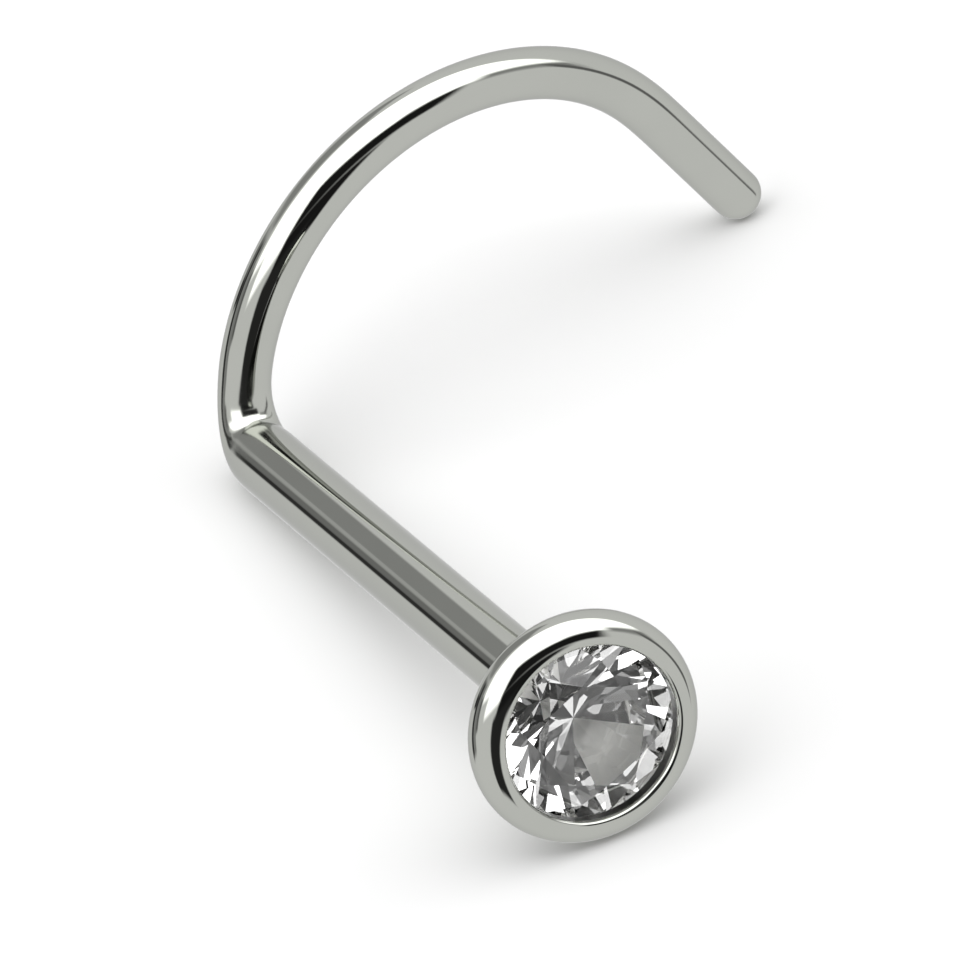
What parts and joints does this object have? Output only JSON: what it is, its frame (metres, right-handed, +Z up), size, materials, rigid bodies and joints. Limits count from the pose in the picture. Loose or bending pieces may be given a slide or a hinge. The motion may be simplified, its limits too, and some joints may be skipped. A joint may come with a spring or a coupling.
{
  "type": "nose stud",
  "caption": "Nose screw stud: a round clear stone in a rounded polished bezel, on a straight post that bends at an elbow into a thinner open hook with a straight tail",
  "frame": {"origin": "on the table, under the middle of the stud's box as it lies on the rim of its head, its elbow and the tip of its hook", "axes": "+Y runs level along the post from the head to the elbow, -Y is the side that the stone faces, +X is the side that the hook curls to, +Z up"},
  "size_m": [0.0082, 0.0116, 0.0038],
  "materials": {
    "polished_steel": "mirror-polished surgical steel, soldered and bent, with a faint warm grey cast",
    "clear_stone": "clear colourless faceted cubic zirconia, polished"
  },
  "bodies": {
    "root": {"nose_screw": "polished_steel", "stone": "clear_stone"}
  },
  "joints": []
}
